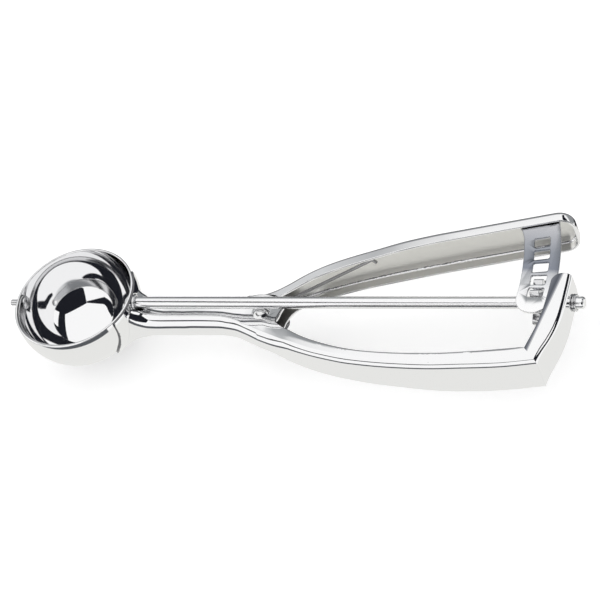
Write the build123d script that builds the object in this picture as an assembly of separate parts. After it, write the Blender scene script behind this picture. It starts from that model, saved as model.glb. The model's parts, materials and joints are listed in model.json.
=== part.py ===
from build123d import *
import os
from math import acos, asin, atan2, cos, degrees, pi, radians, sin, sqrt

# Squeeze-handle ice cream scoop: a bowl on a pressed frame, a sprung lever with a rack,
# and a rod with a pinion that turns the scraper band in the bowl.
#
# Millimetres. +X runs along the rod to the heel, +Y points to the moving lever, +Z out of the
# bowl's mouth. The pieces are made round the centre of the bowl's sphere, on the rod's axis, and
# saved with the origin at the centre of the mouth, in the plane of the rim.

os.makedirs("parts", exist_ok=True)

# ---- Driving dimensions ----
SHEET = 1.0                 # pressed steel of the frame and the lever
GAP = 0.1                   # end play between parts that turn against each other
RUNNING = 0.05              # radial play of a shaft in its bush
FAR = 60.0                  # reach of the cutting shapes, past every piece

BOWL_R = 24.3               # outside of the bowl's sphere
BOWL_WALL = 0.9
RIM_Z = 3.4                 # the mouth is cut a little above the sphere's centre

ROD_R = 2.3
ROD_FRONT_X = 23.2          # shoulder flush with the bowl's inside
ROD_REAR_X = 203.7
ROD_END_ROUND = 1.1
STUB_R = 1.5                # reduced end that the scraper is riveted on
STUB_END_X = 21.5
STUB_HEAD_R = 2.0

BUSH_R = ROD_R + RUNNING + 0.7
BUSH_FLANGE_R = 3.8
BUSH_PROUD = 0.4            # bush's rim outside the heel
BOWL_BUSH_X = (23.2, 25.7)

PIVOT_X = 75.3              # lever's rivet, axis along Z
RIVET_R = 2.4
RIVET_HEAD_R = 3.7
RIVET_DOMES = (2.1, 1.5)    # heads on the top and the bottom plate
LEVER_ANGLE = 12.4          # lever against the rod, handles open

TEETH = 8
PITCH_R = 7.4               # pinion's pitch circle
TOOTH_TIP_R = 8.9
TOOTH_ROOT_R = 5.6
TOOTH_FOOT_R = 4.8          # teeth start inside the root circle
TOOTH_CROWN = 0.2
TOOTH_HALF = (2.1, 1.45, 0.7)  # half thickness at the root, the pitch circle and the tip
PITCH = 2 * pi * PITCH_R / TEETH
PINION_X = (185.4, 189.0)
HUB_R = 3.8
HUB_END_X = 193.2
CROSS_PIN_R = 0.75
CROSS_PIN_PROUD = 0.3
CROSS_PIN_TURN = 125        # degrees round the rod

COLLAR_X = (194.2, 197.8)
COLLAR_R = 3.5
COLLAR_SCREW_R = 1.0
COLLAR_SCREW_TURN = 60      # degrees round the rod
SCREW_SLOT = (0.4, 0.5)     # width and depth
RING_R = 3.2
RING_WIDTH = 0.6
RING_OPENING = 1.6

# ---- Frame: saddle, stem and lower handle, sections across X ----
PLATE_TOP_Z = -5.4          # the two plates round the rivet
PLATE_LOW_Z = -15.2
# x, web side y, open side y, bottom z, top z, corner radius
FRAME = [
    (13.8, -12.4, 12.4, -20.2, 8.9, 6.9),
    (17.7, -11.0, 11.0, -17.6, 7.9, 6.4),
    (21.7, -8.7, 8.7, -15.9, 5.5, 5.6),
    (25.7, -7.2, 7.2, -15.3, -0.6, 4.8),
    (29.6, -6.3, 6.3, -15.1, -3.8, 4.4),
    (34.5, -6.1, 6.1, -15.1, -4.4, 4.2),
    (41.3, -6.0, 6.0, -15.1, -4.4, 4.1),
    (51.0, -5.9, 5.9, -15.1, -4.4, 4.0),
    (58.7, -5.9, 6.1, -15.1, -4.6, 3.9),
    (64.4, -6.6, 7.5, PLATE_LOW_Z, -5.2, 3.5),
    (70.1, -8.8, 10.3, PLATE_LOW_Z, PLATE_TOP_Z, 3.0),
    (76.6, -11.8, 11.6, PLATE_LOW_Z, PLATE_TOP_Z, 3.2),
    (80.2, -13.2, 11.2, PLATE_LOW_Z, PLATE_TOP_Z, 3.2),
    (84.6, -15.3, 10.2, -15.1, -4.5, 3.1),
    (93.8, -20.7, -3.8, -12.6, 0.1, 2.7),
    (106.2, -26.1, -13.3, -10.5, 2.9, 2.4),
    (122.2, -30.5, -17.9, -9.3, 4.8, 2.4),
    (139.9, -33.2, -20.6, -8.9, 6.4, 2.4),
    (157.3, -34.8, -22.3, -8.6, 8.1, 2.3),
    (169.4, -35.0, -22.2, -8.1, 9.0, 2.3),
    (179.8, -34.6, -22.1, -7.6, 9.2, 2.3),
    (188.4, -33.6, -21.1, -7.4, 9.2, 2.3),
    (199.0, -32.0, -20.2, -7.3, 9.2, 2.3),
]
# free edge of the frame's two plates, from the ear round the rivet to the heel
EAR_R = 8.3
EAR_ANGLES = (90, 45, 5)
THROAT_START = (64.4, 8.8)
THROAT_SHOULDER = (69.7, 7.8)
THROAT_EDGE = [(82.5, -3.4), (85.9, -7.5), (90.1, -10.9), (96.5, -15.4), (104.4, -19.4),
               (119.4, -24.5), (139.6, -27.6), (166.5, -28.8), (188.3, -26.8), (203.0, -25.0)]
SADDLE_SIZE = (26.0, 30.0)  # saddle's outline on the bowl, seen along the rod
SADDLE_CORNER_R = 9.0
SADDLE_CENTRE_Z = -5.0
SADDLE_SHEET = 0.8
MITRE_AT = (188.3, -26.7)   # weld between the lower handle and the heel, seen from above
MITRE_ALONG = (1.0, -1.05)
OPEN_TO_X = 211.0           # the throat is open past the heel

# ---- Heel: sections across Y ----
# y, inner x, outer x, bottom z, top z, corner radius
HEEL = [
    (-41.0, 186.0, 194.4, -7.2, 9.2, 2.3),
    (-32.3, 186.0, 194.6, -7.0, 9.2, 2.3),
    (-28.0, 186.0, 195.4, -6.8, 9.2, 2.3),
    (-22.3, 186.0, 197.3, -6.1, 9.2, 2.3),
    (-17.0, 186.0, 198.7, -5.4, 9.2, 2.3),
    (-11.0, 186.0, 199.5, -4.8, 9.2, 2.3),
    (-5.0, 186.0, 199.7, -4.3, 9.2, 2.3),
    (0.5, 186.0, 199.7, -4.1, 9.2, 2.3),
    (10.0, 186.0, 199.5, -3.8, 9.2, 2.3),
]
HEEL_EDGE_START = (187.5, -34.0)
HEEL_EDGE = [(189.1, -26.1), (191.2, -17.2), (192.1, -10.8), (192.5, -3.7), (192.6, 2.2)]
HEEL_NOSE = (193.8, 5.4)
HEEL_TIP = (197.4, 6.4)
HEEL_WEB_X = 199.7          # outer face of the web at the rod
TIP_ROUND = [(6.4, 2.4), (5.0, -1.9), (1.5, -4.4)]  # lower corner of the tip, in y and z
LOW_FLANGE_END_Y = -6.0
HEEL_OPEN_X = 170.0         # the channel is open towards the bowl

# ---- Lever, in its own axes: u from the rivet to the end, v away from the rod ----
LEVER_V = 10.2              # outer face of the web
LEVER_U0 = -2.4
LEVER_END_U = 123.6
LEVER_FREE_V = 5.35         # free edge of the flanges
LEVER_TOP = [(8.3, -4.4), (19.5, 0.6), (38.0, 5.6), (58.5, 8.5), (83.0, 9.5)]
LEVER_BOTTOM = [(84.0, -8.7), (48.5, -9.4), (27.0, -11.4), (10.5, -13.9)]
LEVER_BEND_R = 2.1
LEVER_END_R = 6.2
LEVER_EAR_R = 7.6
LEVER_EAR_EDGE = [(7.0, -2.9), (8.7, 0.8), (11.2, 3.5), (13.8, 4.7), (18.0, LEVER_FREE_V)]
EAR_TOP = PLATE_TOP_Z - SHEET - GAP
EAR_BOTTOM = -13.9
PLATE_CLEAR_R = 8.7         # the top flange stops short of the frame's round plate

# ---- Rack plate, round the rivet ----
RACK_R = (105.3, 119.0)
RACK_ROOT_U = (100.7, 119.2)
RACK_Z = (PITCH_R - 0.6, PITCH_R + 0.6)
RACK_ARM = 112.1            # radius of the slots' centres
SLOT_COUNT = 5
SLOT_SIZE = (5.9, 4.4)
SLOT_CORNER_R = 0.7
FIRST_SLOT_Y = -1.45        # slot in mesh when the handles are open
RACK_TIP_Y = -10.5
RACK_TOP_ANGLE = -0.5       # the arm widens into its root from here
RACK_TAB_Z = 2.0            # lower edge of the tab on the lever's web
RACK_TAB_T = 1.2
RACK_TAB_U = (104.3, 116.9)  # the tab is narrower than the root above it
RACK_BEND_R = 1.9
RACK_RIVET_U = (106.5, 114.5)
RACK_RIVET_Z = 4.2
RACK_RIVET_R = 1.3
RACK_RIVET_HEAD_R = 2.2
RACK_RIVET_DOMES = (0.9, 0.7)  # heads inside and outside

# ---- Scraper ----
SCRAPER_T = 0.5
SCRAPER_PLAY = 0.2          # to the bowl's wall
SCRAPER_HALF = (4.5, 3.0)   # half width at the middle and at the ends
SCRAPER_EYE_IN = 1.0        # the band widens from its eyes
SCRAPER_REST_ANGLE = 4.0    # middle of the band below the rod, on the -Y wall
FRONT_PIN_R = 1.5
FRONT_PIN_X = (-28.2, -24.2, -22.3, -21.5)  # outer end, outer shoulder, head's face, inner end
FRONT_TAIL_R = 1.2
FRONT_TAIL_ROUND = 0.4
FRONT_HEAD_R = 2.4
WASHER_R = 2.6
WASHER_X = (22.0, 22.55)

# ---- Return spring ----
WIRE_R = 0.65
WIRE_BEND_R = 0.68          # ball at each bend of the wire
COIL_R = 4.3
COIL_PITCH = 1.4
COIL_TOP_Z = EAR_TOP - SHEET - GAP - WIRE_R
LEVER_LEG = [(9.6, 5.6, COIL_TOP_Z), (46.0, 8.5, 2.7)]  # in the lever's axes
FRAME_LEG_END = (93.5, -18.65, -9.2)
SPACER_R = COIL_R - WIRE_R - 0.35


def save(shape, node):
    export_step(Pos(0, 0, -RIM_Z) * shape, f"parts/{node}.step")


def along_x(x0, x1, radius):
    """Cylinder round the rod's axis from x0 to x1."""
    bar = Cylinder(radius, x1 - x0, align=(Align.CENTER, Align.CENTER, Align.MIN))
    return Pos(x0, 0, 0) * Rot(0, 90, 0) * bar


def upright(x, y, z0, z1, radius):
    """Cylinder along Z from z0 to z1."""
    bar = Cylinder(radius, z1 - z0, align=(Align.CENTER, Align.CENTER, Align.MIN))
    return Pos(x, y, z0) * bar


def tube_x(x0, x1, outer, inner):
    return along_x(x0, x1, outer) - along_x(x0 - 1, x1 + 1, inner)


def upright_prism(face, z0, z1):
    """A plan outline in the XY plane, pulled up from z0 to z1."""
    return Pos(0, 0, z0) * extrude(face, z1 - z0)


def above(z):
    """Everything near the bowl over a level."""
    return Pos(0, 0, z) * Box(FAR, FAR, FAR, align=(Align.CENTER, Align.CENTER, Align.MIN))


def dome(radius, height):
    """Round rivet head on the XY plane."""
    sphere_r = (radius ** 2 + height ** 2) / (2 * height)
    return (Pos(0, 0, height - sphere_r) * Sphere(sphere_r)) & above(0)


def on_lever(shape):
    """From the lever's own axes to the scoop's, handles open."""
    return Pos(PIVOT_X, 0, 0) * Rot(0, 0, LEVER_ANGLE) * shape


# ---------------------------------------------------------------- smooth stations
def slopes(xs, ys):
    """Slopes of a smooth curve through the points that never overshoots them."""
    spans = [(y1 - y0) / (x1 - x0) for x0, x1, y0, y1 in zip(xs, xs[1:], ys, ys[1:])]
    inner = [0 if a * b <= 0 else 2 * a * b / (a + b) for a, b in zip(spans, spans[1:])]
    return [spans[0], *inner, spans[-1]]


def halfway(stations):
    """The stations, with one more in the middle of each span."""
    columns = list(zip(*stations))
    xs = columns[0]
    tilts = [slopes(xs, ys) for ys in columns[1:]]
    finer = []
    for i in range(len(stations) - 1):
        width = xs[i + 1] - xs[i]
        middle = [xs[i] + width / 2]
        for ys, tilt in zip(columns[1:], tilts):
            middle.append((ys[i] + ys[i + 1]) / 2 + (tilt[i] - tilt[i + 1]) * width / 8)
        finer += [stations[i], tuple(middle)]
    return finer + [stations[-1]]


def section_across_x(station, inset):
    x, y0, y1, z0, z1, r = station
    plane = Plane(origin=(x, (y0 + y1) / 2, (z0 + z1) / 2), x_dir=(0, 1, 0), z_dir=(1, 0, 0))
    return plane * RectangleRounded(y1 - y0 - 2 * inset, z1 - z0 - 2 * inset, r - inset)


def section_across_y(station, inset):
    y, x0, x1, z0, z1, r = station
    plane = Plane(origin=((x0 + x1) / 2, y, (z0 + z1) / 2), x_dir=(1, 0, 0), z_dir=(0, -1, 0))
    return plane * RectangleRounded(x1 - x0 - 2 * inset, z1 - z0 - 2 * inset, r - inset)


def pressed_tube(stations, section):
    """Sheet tube through the stations, as its outer form and the form one sheet inside it."""
    finer = halfway(stations)
    outer = loft([section(s, 0) for s in finer])
    inner = loft([section(s, SHEET) for s in finer])
    return outer, inner


# ---------------------------------------------------------------- frame
def throat_opening():
    """Everything beyond the free edge of the frame's plates, as a plan outline."""
    ear = [(PIVOT_X + EAR_R * cos(radians(a)), EAR_R * sin(radians(a))) for a in EAR_ANGLES]
    edge = Spline([THROAT_SHOULDER, *ear, *THROAT_EDGE])
    closing = Polyline(THROAT_EDGE[-1], (OPEN_TO_X, THROAT_EDGE[-1][1]), (OPEN_TO_X, FAR),
                       (THROAT_START[0], FAR), THROAT_START, THROAT_SHOULDER)
    return make_face([edge, closing])


def mitre(side):
    """Half-space on one side of the weld between the lower handle and the heel."""
    line = Plane(origin=(*MITRE_AT, 0), x_dir=(*MITRE_ALONG, 0), z_dir=(0, 0, 1))
    edge = Align.MIN if side > 0 else Align.MAX
    return line * Box(8 * FAR, 4 * FAR, FAR, align=(Align.CENTER, edge, Align.CENTER))


def saddle():
    """Thin cap on the back of the bowl that the stem grows out of."""
    outline = Plane(origin=(0, 0, SADDLE_CENTRE_Z), x_dir=(0, 1, 0), z_dir=(1, 0, 0))
    prism = extrude(outline * RectangleRounded(*SADDLE_SIZE, SADDLE_CORNER_R), FAR)
    shell = Sphere(BOWL_R + SADDLE_SHEET) - Sphere(BOWL_R)
    return (shell & prism) - above(RIM_Z)


def stem_and_handle():
    outer, inner = pressed_tube(FRAME, section_across_x)
    bowl_room = Sphere(BOWL_R + SADDLE_SHEET / 2)
    tube = outer - inner - bowl_room - above(RIM_Z)
    tube = (tube - upright_prism(throat_opening(), -FAR, FAR)) & mitre(-1)
    rivet_hole = upright(PIVOT_X, 0, -FAR, 0, RIVET_R)
    top_seat = upright(PIVOT_X, 0, PLATE_TOP_Z, 0, RIVET_HEAD_R + GAP)
    low_seat = upright(PIVOT_X, 0, -FAR, PLATE_LOW_Z, RIVET_HEAD_R + GAP)
    bush_hole = along_x(0, FRAME[4][0], BUSH_R)
    return saddle() + tube - bush_hole - rivet_hole - top_seat - low_seat


def heel_opening():
    """Plan outline of the channel's open side and of all that lies beyond the tip."""
    start_y = HEEL_EDGE_START[1]
    edge = Spline([HEEL_EDGE_START, *HEEL_EDGE])
    nose = ThreePointArc(HEEL_EDGE[-1], HEEL_NOSE, HEEL_TIP)
    closing = Polyline(HEEL_TIP, (OPEN_TO_X, HEEL_TIP[1]), (OPEN_TO_X, FAR), (HEEL_OPEN_X, FAR),
                       (HEEL_OPEN_X, start_y), HEEL_EDGE_START)
    return make_face([edge, nose, closing])


def tip_corner():
    """What is trimmed off the tip's lower corner, seen along the rod."""
    tip_y, tip_z = TIP_ROUND[0]
    low_y = TIP_ROUND[-1][0]
    outline = Polyline(TIP_ROUND[-1], (low_y, -FAR), (FAR, -FAR), (FAR, tip_z), (tip_y, tip_z))
    across = Plane(origin=(HEEL_OPEN_X, 0, 0), x_dir=(0, 1, 0), z_dir=(1, 0, 0))
    return extrude(across * make_face([ThreePointArc(*TIP_ROUND), outline]), FAR)


def heel():
    outer, inner = pressed_tube(HEEL, section_across_y)
    web_x = HEEL_WEB_X - SHEET
    low_flange = Pos(web_x, LOW_FLANGE_END_Y, RIM_Z) * Box(
        FAR, FAR, FAR, align=(Align.MAX, Align.MIN, Align.MAX))
    channel = (outer - inner - upright_prism(heel_opening(), -FAR, FAR)) & mitre(1)
    return channel - tip_corner() - low_flange - along_x(COLLAR_X[1], OPEN_TO_X, BUSH_R)


def bowl():
    shell = Sphere(BOWL_R) - Sphere(BOWL_R - BOWL_WALL) - above(RIM_Z)
    return shell - along_x(0, FAR, BUSH_R) - along_x(-FAR, 0, FRONT_PIN_R)


def heel_rod_bush():
    face = HEEL_WEB_X - SHEET
    sleeve = tube_x(face, HEEL_WEB_X + BUSH_PROUD, BUSH_R, ROD_R + RUNNING)
    flange = tube_x(COLLAR_X[1] + GAP, face, BUSH_FLANGE_R, ROD_R + RUNNING)
    return sleeve + flange


def front_pivot_pin():
    tip, shoulder, head, end = FRONT_PIN_X
    tail = along_x(tip, shoulder, FRONT_TAIL_R)
    tail = fillet(tail.edges().sort_by(Axis.X)[0], FRONT_TAIL_ROUND)
    return tail + along_x(shoulder, head, FRONT_PIN_R) + along_x(head, end, FRONT_HEAD_R)


def pivot_rivet():
    high, low = RIVET_DOMES
    shank = upright(PIVOT_X, 0, PLATE_LOW_Z, PLATE_TOP_Z, RIVET_R)
    top = Pos(PIVOT_X, 0, PLATE_TOP_Z) * dome(RIVET_HEAD_R, high)
    bottom = Pos(PIVOT_X, 0, PLATE_LOW_Z) * Rot(180, 0, 0) * dome(RIVET_HEAD_R, low)
    return shank + top + bottom


def wire(start, end):
    """Straight wire with a ball at its start."""
    span = end - start
    bar = Cylinder(WIRE_R, span.length, align=(Align.CENTER, Align.CENTER, Align.MIN))
    return Plane(origin=start, z_dir=span) * bar + Pos(*start) * Sphere(WIRE_BEND_R)


def return_spring():
    """Coil round the rivet, one leg along the lever and one behind the frame's web."""
    knee, tip = [on_lever(Pos(*point)).position for point in LEVER_LEG]
    rest = Vector(*FRAME_LEG_END)
    axis = Vector(PIVOT_X, 0, 0)
    angles = []
    for point, side in ((knee - axis, 1), (rest - axis, -1)):
        reach = sqrt(point.X ** 2 + point.Y ** 2)
        angles.append(degrees(atan2(point.Y, point.X) + side * acos(COIL_R / reach)))
    turns = 2 + (angles[1] - angles[0]) % 360 / 360
    low_z = COIL_TOP_Z - turns * COIL_PITCH
    helix = Pos(PIVOT_X, 0, low_z) * Rot(0, 0, angles[1]) * Helix(
        COIL_PITCH, turns * COIL_PITCH, COIL_R, lefthand=True)
    section = Plane(origin=helix @ 0, z_dir=helix % 0) * Circle(WIRE_R)
    coil = sweep(section, helix)
    return coil + wire(helix @ 1, knee) + wire(knee, tip) + wire(helix @ 0, rest)


# ---------------------------------------------------------------- lever
def moved_in(curve, inset):
    """The curve, shifted to its right by the inset."""
    spans = 8
    points = []
    for i in range(spans + 1):
        tangent = curve % (i / spans)
        points.append(curve @ (i / spans) + Vector(tangent.Y, -tangent.X) * inset)
    return Spline(points, tangents=[curve % 0, curve % 1])


def lever_side(front_u, inset):
    """Side outline of the lever's channel, u along x and z along y, inside its skin."""
    end = LEVER_END_U - inset
    r = LEVER_END_R - inset
    bend = r * sin(pi / 4)
    ridge = moved_in(Spline([(LEVER_U0, EAR_TOP), *LEVER_TOP], tangents=[(1, 0), (1, 0)]), inset)
    belly = moved_in(Spline(LEVER_BOTTOM, tangents=[(-1, 0), (-1, 0)]), inset)
    top = (ridge @ 1).Y
    low = (belly @ 0).Y
    upper = ThreePointArc((end - r, top), (end - r + bend, top - r + bend), (end, top - r))
    lower = ThreePointArc((end, low + r), (end - r + bend, low + r - bend), (end - r, low))
    front = [belly @ 1, (front_u, (belly @ 1).Y), (front_u, (ridge @ 0).Y)]
    if front_u < LEVER_U0:
        front.append(ridge @ 0)
    return make_face([
        ridge,
        Line(ridge @ 1, upper @ 0),
        upper,
        Line(upper @ 1, lower @ 0),
        lower,
        Line(lower @ 1, belly @ 0),
        belly,
        Polyline(front),
    ])


def lever_block(side, face_v, bend_r):
    """Side outline pulled from the web towards the rod, its web edges rounded."""
    plane = Plane(origin=(0, face_v, 0), x_dir=(1, 0, 0), z_dir=(0, -1, 0))
    block = extrude(plane * side, face_v + LEVER_EAR_R + 1)
    web = block.faces().sort_by(Axis.Y)[-1]
    front = web.edges().sort_by(Axis.X)[0]
    return fillet(web.edges() - [front], bend_r)


def ear_plan():
    """Round ear with its concave run into the flange, as a plan outline."""
    edge = Spline(LEVER_EAR_EDGE)
    last_u = LEVER_EAR_EDGE[-1][0]
    inside_v = LEVER_V - SHEET / 2
    closing = Polyline(LEVER_EAR_EDGE[-1], (last_u, inside_v), (LEVER_U0, inside_v),
                       (LEVER_U0, 0.0), LEVER_EAR_EDGE[0])
    return make_face([edge, closing]) + Circle(LEVER_EAR_R)


def rack_rivet_hole(u):
    bar = Cylinder(RACK_RIVET_R, LEVER_V)
    return Pos(u, LEVER_V - SHEET, RACK_RIVET_Z) * Rot(90, 0, 0) * bar


def flat_ears():
    """Round ears at both flanges, the top one under the frame's round plate."""
    low = upright(0, 0, EAR_BOTTOM, EAR_BOTTOM + SHEET, LEVER_EAR_R)
    return low + upright(0, 0, EAR_TOP - SHEET, EAR_TOP, LEVER_EAR_R)


def top_step(plan):
    """Flat round the round plate, and the step from it up to the top flange."""
    low = EAR_TOP - SHEET
    disc = upright(0, 0, low, FAR, PLATE_CLEAR_R + SHEET)
    return (disc & upright_prism(plan, low, FAR)) - upright(0, 0, EAR_TOP, FAR, PLATE_CLEAR_R)


def lever_handle():
    outer = lever_block(lever_side(LEVER_U0, 0), LEVER_V, LEVER_BEND_R)
    inside = lever_side(LEVER_U0 - LEVER_V, SHEET)
    inner = lever_block(inside, LEVER_V - SHEET, LEVER_BEND_R - SHEET)
    plan = ear_plan()
    beyond = Pos(LEVER_U0, LEVER_FREE_V, -FAR) * Box(4 * FAR, FAR, 2 * FAR, align=Align.MIN)
    ears = upright_prism(plan, -FAR, EAR_TOP)
    web_v = LEVER_V - SHEET
    plate_room = upright(0, 0, EAR_TOP, FAR, PLATE_CLEAR_R) - Pos(0, web_v, -FAR) * Box(
        FAR, FAR, 2 * FAR, align=(Align.CENTER, Align.MIN, Align.MIN))
    channel = ((outer - inner) & (beyond + ears)) - plate_room
    bore = upright(0, 0, -FAR, 0, RIVET_R + RUNNING)
    holes = [rack_rivet_hole(u) for u in RACK_RIVET_U]
    return on_lever(channel + (top_step(plan) & outer) + flat_ears() - bore - holes)


def rack_point(radius, angle):
    return radius * cos(radians(angle)), radius * sin(radians(angle))


def rack_plan():
    inner, outer = RACK_R
    middle = (inner + outer) / 2
    tip_r = (outer - inner) / 2
    tip_angle = degrees(asin(RACK_TIP_Y / middle)) - LEVER_ANGLE
    low = tip_angle + degrees(tip_r / middle)
    high = RACK_TOP_ANGLE
    root = [(u, LEVER_V - SHEET) for u in RACK_ROOT_U]
    return make_face([
        ThreePointArc(rack_point(inner, low), rack_point(middle, tip_angle),
                      rack_point(outer, low)),
        ThreePointArc(rack_point(outer, low), rack_point(outer, (low + high) / 2),
                      rack_point(outer, high)),
        Spline([rack_point(outer, high), root[1]], tangents=[(0, 1), (0.3, 1)]),
        Line(root[1], root[0]),
        Spline([root[0], rack_point(inner, high)], tangents=[(1, -0.4), (0, -1)]),
        ThreePointArc(rack_point(inner, high), rack_point(inner, (low + high) / 2),
                      rack_point(inner, low)),
    ])


def rack_slots():
    first = degrees(asin(FIRST_SLOT_Y / RACK_ARM)) - LEVER_ANGLE
    step = degrees(PITCH / RACK_ARM)
    slot = Pos(RACK_ARM, 0) * RectangleRounded(*SLOT_SIZE, SLOT_CORNER_R)
    return [Rot(0, 0, first + step * i) * slot for i in range(SLOT_COUNT)]


def rack_tab_sides():
    """What is cut off both sides of the tab, under the plate's root."""
    left, right = RACK_TAB_U
    under = Pos(0, 0, RACK_Z[0])
    ends = (Align.MAX, Align.CENTER, Align.MAX), (Align.MIN, Align.CENTER, Align.MAX)
    return [under * Pos(u, 0, 0) * Box(FAR, FAR, FAR, align=align)
            for u, align in zip((left, right), ends)]


def rack_plate():
    plate = upright_prism(rack_plan() - rack_slots(), *RACK_Z)
    u0, u1 = RACK_ROOT_U
    v1 = LEVER_V - SHEET
    tab = Pos(u0, v1 - RACK_TAB_T, RACK_TAB_Z) * Box(u1 - u0, RACK_TAB_T,
                                                    RACK_Z[1] - RACK_TAB_Z, align=Align.MIN)
    bent = plate + tab
    along = bent.edges().filter_by(Axis.X)
    outer_edge = along.sort_by(lambda edge: edge.center().Y + edge.center().Z)[-1]
    bent = fillet(outer_edge, RACK_BEND_R)
    inner_edges = [edge for edge in bent.edges().filter_by(Axis.X)
                   if abs(edge.center().Y - v1 + RACK_TAB_T) < 0.01
                   and abs(edge.center().Z - RACK_Z[0]) < 0.01]
    bent = fillet(inner_edges, RACK_BEND_R - RACK_TAB_T)
    holes = [rack_rivet_hole(u) for u in RACK_RIVET_U]
    return on_lever(bent - rack_tab_sides() - holes)


def rack_rivets():
    inner_v = LEVER_V - SHEET - RACK_TAB_T
    grip = LEVER_V - inner_v
    inside, outside = RACK_RIVET_DOMES
    rivets = []
    for u in RACK_RIVET_U:
        shank = Rot(90, 0, 0) * Cylinder(RACK_RIVET_R, grip,
                                         align=(Align.CENTER, Align.CENTER, Align.MAX))
        inner_head = Rot(90, 0, 0) * dome(RACK_RIVET_HEAD_R, inside)
        outer_head = Pos(0, grip, 0) * Rot(-90, 0, 0) * dome(RACK_RIVET_HEAD_R, outside)
        rivets.append(Pos(u, inner_v, RACK_RIVET_Z) * (shank + inner_head + outer_head))
    return on_lever(Compound(children=rivets))


def pivot_spacer():
    wall = upright(PIVOT_X, 0, EAR_BOTTOM + SHEET, EAR_TOP - SHEET, SPACER_R)
    return wall - upright(PIVOT_X, 0, -FAR, 0, RIVET_R + RUNNING)


# ---------------------------------------------------------------- drive
def cross_pin_hole():
    x = (PINION_X[1] + HUB_END_X) / 2
    bar = Cylinder(CROSS_PIN_R, 2 * (HUB_R + CROSS_PIN_PROUD))
    return Pos(x, 0, 0) * Rot(CROSS_PIN_TURN, 0, 0) * bar


def drive_rod():
    bar = along_x(ROD_FRONT_X, ROD_REAR_X, ROD_R)
    bar = fillet(bar.edges().sort_by(Axis.X)[-1], ROD_END_ROUND)
    stub = along_x(WASHER_X[0], ROD_FRONT_X, STUB_R)
    head = along_x(STUB_END_X, WASHER_X[0], STUB_HEAD_R)
    return bar + stub + head - cross_pin_hole()


def tooth():
    root, pitch, tip = TOOTH_HALF
    crown = TOOTH_TIP_R - TOOTH_CROWN
    return make_face([
        Polyline((-tip, crown), (-pitch, PITCH_R), (-root, TOOTH_FOOT_R), (root, TOOTH_FOOT_R),
                 (pitch, PITCH_R), (tip, crown)),
        ThreePointArc((tip, crown), (0, TOOTH_TIP_R), (-tip, crown)),
    ])


def pinion():
    """Star of rounded teeth, one of them in the rack's lowest slot when the handles are open."""
    first = degrees(atan2(-FIRST_SLOT_Y, PITCH_R))
    star = Circle(TOOTH_ROOT_R)
    for i in range(TEETH):
        star += Rot(0, 0, first + 360 / TEETH * i) * tooth()
    across = Plane(origin=(PINION_X[0], 0, 0), x_dir=(0, 1, 0), z_dir=(1, 0, 0))
    wheel = extrude(across * star, PINION_X[1] - PINION_X[0])
    hub = along_x(PINION_X[1], HUB_END_X, HUB_R)
    return wheel + hub - along_x(0, OPEN_TO_X, ROD_R) - cross_pin_hole()


def screw_place(shape):
    return Pos(sum(COLLAR_X) / 2, 0, 0) * Rot(-COLLAR_SCREW_TURN, 0, 0) * shape


def thrust_collar():
    bore = Cylinder(COLLAR_SCREW_R, FAR, align=(Align.CENTER, Align.CENTER, Align.MIN))
    return tube_x(*COLLAR_X, COLLAR_R, ROD_R) - screw_place(bore)


def collar_screw():
    """Grub screw with a driver slot, flush with the collar."""
    width, depth = SCREW_SLOT
    body = Cylinder(COLLAR_SCREW_R, COLLAR_R, align=(Align.CENTER, Align.CENTER, Align.MIN))
    slot = Pos(0, 0, COLLAR_R) * Box(width, FAR, 2 * depth)
    return screw_place(body - slot) - along_x(0, OPEN_TO_X, ROD_R)


def retaining_ring():
    x0 = HEEL_WEB_X + BUSH_PROUD + GAP
    ring = tube_x(x0, x0 + RING_WIDTH, RING_R, ROD_R)
    slot = Pos(x0, 0, 0) * Box(FAR, RING_OPENING, FAR,
                               align=(Align.CENTER, Align.CENTER, Align.MAX))
    return ring - slot


def scraper_strip():
    """Outline of the band seen from the bowl's wall, x along the rod."""
    middle, end = SCRAPER_HALF
    reach = BOWL_R - BOWL_WALL - SCRAPER_PLAY - SCRAPER_EYE_IN
    side = ThreePointArc((-reach, end), (0, middle), (reach, end))
    return make_face([
        side,
        Polyline((reach, end), (FAR, end), (FAR, -end), (reach, -end)),
        mirror(side, Plane.XZ),
        Polyline((-reach, -end), (-FAR, -end), (-FAR, end), (-reach, end)),
    ])


def scraper_band():
    """Strip bent to the bowl's inside, with an eye at each end on the rod's axis."""
    outer = BOWL_R - BOWL_WALL - SCRAPER_PLAY
    shell = Sphere(outer) - Sphere(outer - SCRAPER_T)
    away = Plane(origin=(0, 0, 0), x_dir=(1, 0, 0), z_dir=(0, -1, 0))
    eyes = along_x(-FAR, FAR, SCRAPER_HALF[1])
    band = shell & (extrude(away * scraper_strip(), FAR) + eyes)
    band = band - along_x(0, FAR, STUB_R) - along_x(-FAR, 0, FRONT_PIN_R + RUNNING)
    return Rot(SCRAPER_REST_ANGLE, 0, 0) * band


PIECES = {
    "stem_and_handle": stem_and_handle,
    "heel": heel,
    "bowl": bowl,
    "bowl_rod_bush": lambda: tube_x(*BOWL_BUSH_X, BUSH_R, ROD_R + RUNNING),
    "heel_rod_bush": heel_rod_bush,
    "front_pivot_pin": front_pivot_pin,
    "pivot_rivet": pivot_rivet,
    "return_spring": return_spring,
    "lever_handle": lever_handle,
    "rack_plate": rack_plate,
    "rack_rivets": rack_rivets,
    "pivot_spacer": pivot_spacer,
    "drive_rod": drive_rod,
    "pinion": pinion,
    "pinion_pin": cross_pin_hole,
    "thrust_collar": thrust_collar,
    "collar_screw": collar_screw,
    "retaining_ring": retaining_ring,
    "scraper_band": scraper_band,
    "scraper_washer": lambda: tube_x(*WASHER_X, WASHER_R, STUB_R),
}

for node, make in PIECES.items():
    save(make(), node)
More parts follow.
